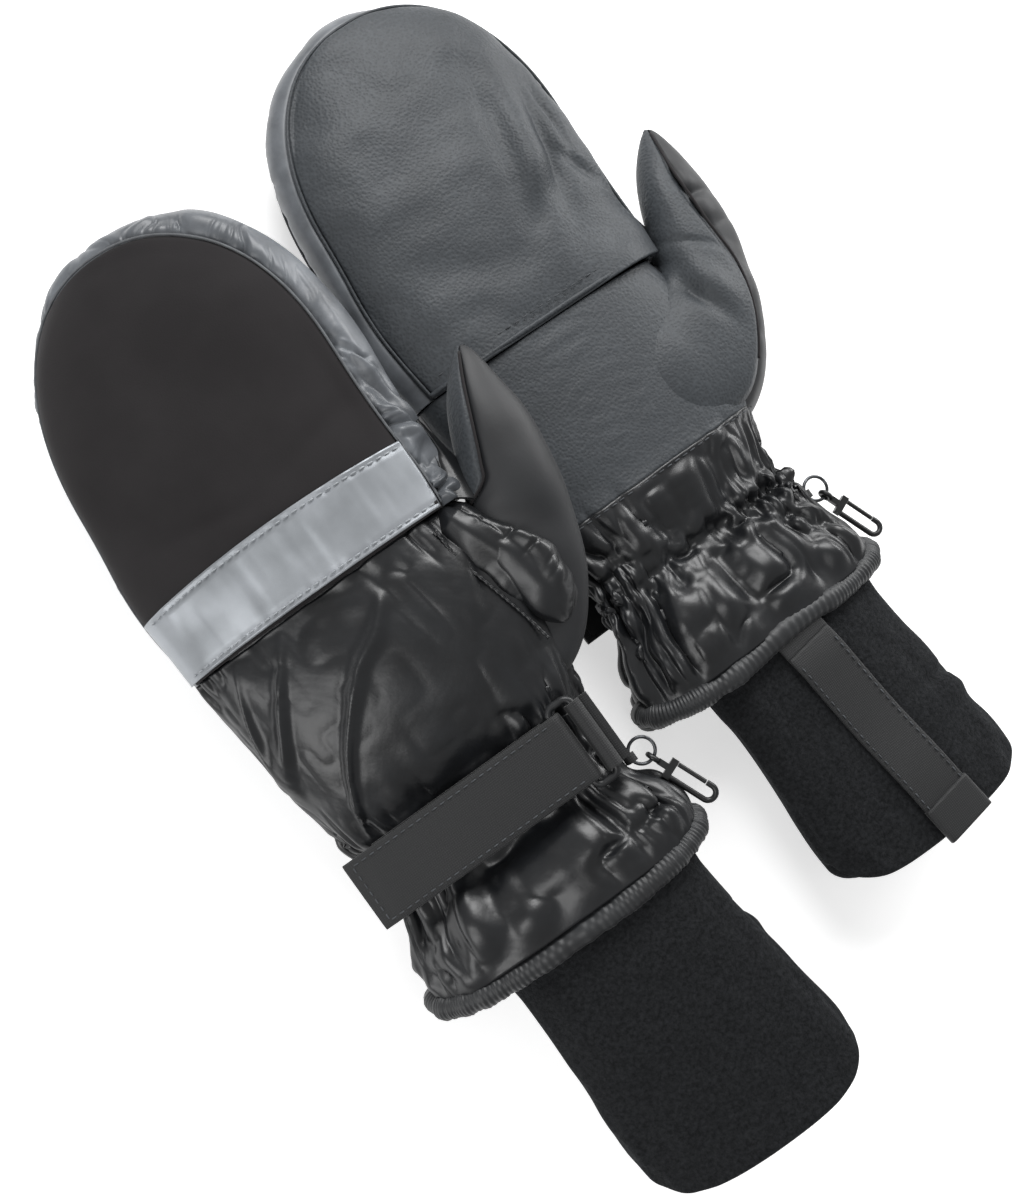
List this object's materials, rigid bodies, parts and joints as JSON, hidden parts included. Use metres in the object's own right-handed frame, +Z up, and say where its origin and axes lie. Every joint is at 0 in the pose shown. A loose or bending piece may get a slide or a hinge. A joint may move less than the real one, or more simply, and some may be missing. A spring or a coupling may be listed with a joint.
{
  "type": "convertible mittens",
  "caption": "Pair of insulated work mittens with flip-back finger caps, reflective bands, hook-and-loop wrist straps, snap hooks and long fleece cuffs.",
  "frame": {"origin": "middle of the pair's footprint, on the surface that it lies on", "axes": "+Y to the fingertips, +X from the left mitten to the right one, +Z up"},
  "size_m": [0.2602, 0.3945, 0.0647],
  "materials": {
    "softshell": "matt charcoal woven softshell",
    "reflective_tape": "silver glass-bead reflective tape with stitched edges",
    "gusset_nylon": "grey puckered nylon taffeta",
    "palm_leather": "grey grained synthetic leather",
    "quilted_nylon": "glossy black nylon over padding",
    "binding_nylon": "black nylon binding, rolled over a cord",
    "fleece": "black brushed fleece",
    "webbing": "black woven nylon webbing",
    "loop_pile": "black loop pile",
    "hook_pile": "black moulded hook tape",
    "black_plastic": "black moulded acetal",
    "ring_steel": "dark nickel-plated wire",
    "black_steel": "black-coated spring steel"
  },
  "bodies": {
    "left_hand": {"left_hand_back": "quilted_nylon", "left_palm_panel": "palm_leather", "left_palm_heel_panel": "quilted_nylon", "left_thumb_back": "softshell", "left_thumb_pad": "palm_leather", "left_thumb_gusset": "gusset_nylon", "left_finger_liner": "fleece", "left_wrist_elastic": "quilted_nylon", "left_gauntlet": "quilted_nylon", "left_hem_binding": "binding_nylon", "left_fleece_cuff": "fleece", "left_strap_under_layer": "webbing", "left_loop_patch": "loop_pile", "left_strap_ring": "black_plastic", "left_ring_tab": "webbing", "left_hook_tab": "webbing", "left_split_ring": "ring_steel"},
    "left_cap": {"left_cap_back_panel": "softshell", "left_cap_band": "reflective_tape", "left_cap_gusset": "gusset_nylon", "left_cap_palm_panel": "palm_leather", "left_cap_hem_binding": "binding_nylon", "left_cap_lining": "fleece"},
    "left_strap": {"left_wrist_strap": "webbing", "left_hook_patch": "hook_pile"},
    "left_hook": {"left_spring_hook": "black_steel"},
    "left_gate": {"left_hook_gate": "black_steel"},
    "left_pull": {"left_pull_strap": "webbing", "left_pull_strap_tab": "webbing"},
    "right_hand": {"right_hand_back": "quilted_nylon", "right_palm_panel": "palm_leather", "right_palm_heel_panel": "quilted_nylon", "right_thumb_back": "softshell", "right_thumb_pad": "palm_leather", "right_thumb_gusset": "gusset_nylon", "right_finger_liner": "fleece", "right_wrist_elastic": "quilted_nylon", "right_gauntlet": "quilted_nylon", "right_hem_binding": "binding_nylon", "right_fleece_cuff": "fleece", "right_strap_under_layer": "webbing", "right_loop_patch": "loop_pile", "right_strap_ring": "black_plastic", "right_ring_tab": "webbing", "right_hook_tab": "webbing", "right_split_ring": "ring_steel"},
    "right_cap": {"right_cap_back_panel": "softshell", "right_cap_band": "reflective_tape", "right_cap_gusset": "gusset_nylon", "right_cap_palm_panel": "palm_leather", "right_cap_hem_binding": "binding_nylon", "right_cap_lining": "fleece"},
    "right_strap": {"right_wrist_strap": "webbing", "right_hook_patch": "hook_pile"},
    "right_hook": {"right_spring_hook": "black_steel"},
    "right_gate": {"right_hook_gate": "black_steel"},
    "right_pull": {"right_pull_strap": "webbing", "right_pull_strap_tab": "webbing"}
  },
  "joints": [
    {"name": "left_lift", "type": "slide", "parent": "right_hand", "child": "left_hand", "axis": [0, 0, 1], "range_m": [0, 0.1]},
    {"name": "left_cap_flip", "type": "hinge", "parent": "left_hand", "child": "left_cap", "pos_m": [-0.07499, 0.03075, 0.05114], "axis": [0.9613, 0, 0.2756], "range_deg": [0, 130]},
    {"name": "left_strap_peel", "type": "hinge", "parent": "left_hand", "child": "left_strap", "pos_m": [-0.04582, -0.05725, 0.05461], "axis": [0, 1, 0], "range_deg": [0, 100]},
    {"name": "left_hook_swing", "type": "hinge", "parent": "left_hand", "child": "left_hook", "pos_m": [-0.02457, -0.07225, 0.04583], "axis": [-0.2756, 0, 0.9613], "range_deg": [0, 60]},
    {"name": "left_gate_open", "type": "hinge", "parent": "left_hook", "child": "left_gate", "pos_m": [-0.01743, -0.0837, 0.04788], "axis": [0.2756, 0, -0.9613], "range_deg": [0, 15], "stiffness_Nm_per_rad": 0.01, "springref_deg": -11.46},
    {"name": "left_pull_lift", "type": "hinge", "parent": "left_hand", "child": "left_pull", "pos_m": [-0.06323, -0.11085, 0.02101], "axis": [0.9541, 0.1219, 0.2736], "range_deg": [0, 90]},
    {"name": "right_cap_flip", "type": "hinge", "parent": "right_hand", "child": "right_cap", "pos_m": [0.04748, 0.06475, 0], "axis": [-1, 0, 0], "range_deg": [0, 130]},
    {"name": "right_strap_peel", "type": "hinge", "parent": "right_hand", "child": "right_strap", "pos_m": [0.07648, -0.02325, 0.0047], "axis": [0, -1, 0], "range_deg": [0, 100]},
    {"name": "right_hook_swing", "type": "hinge", "parent": "right_hand", "child": "right_hook", "pos_m": [0.09448, -0.03825, 0.019], "axis": [0, 0, 1], "range_deg": [0, 60]},
    {"name": "right_gate_open", "type": "hinge", "parent": "right_hook", "child": "right_gate", "pos_m": [0.10191, -0.0497, 0.019], "axis": [0, 0, -1], "range_deg": [0, 15], "stiffness_Nm_per_rad": 0.01, "springref_deg": -11.46},
    {"name": "right_pull_lift", "type": "hinge", "parent": "right_hand", "child": "right_pull", "pos_m": [0.05048, -0.07685, 0.0322], "axis": [-0.9925, -0.1219, 0], "range_deg": [0, 90]}
  ]
}
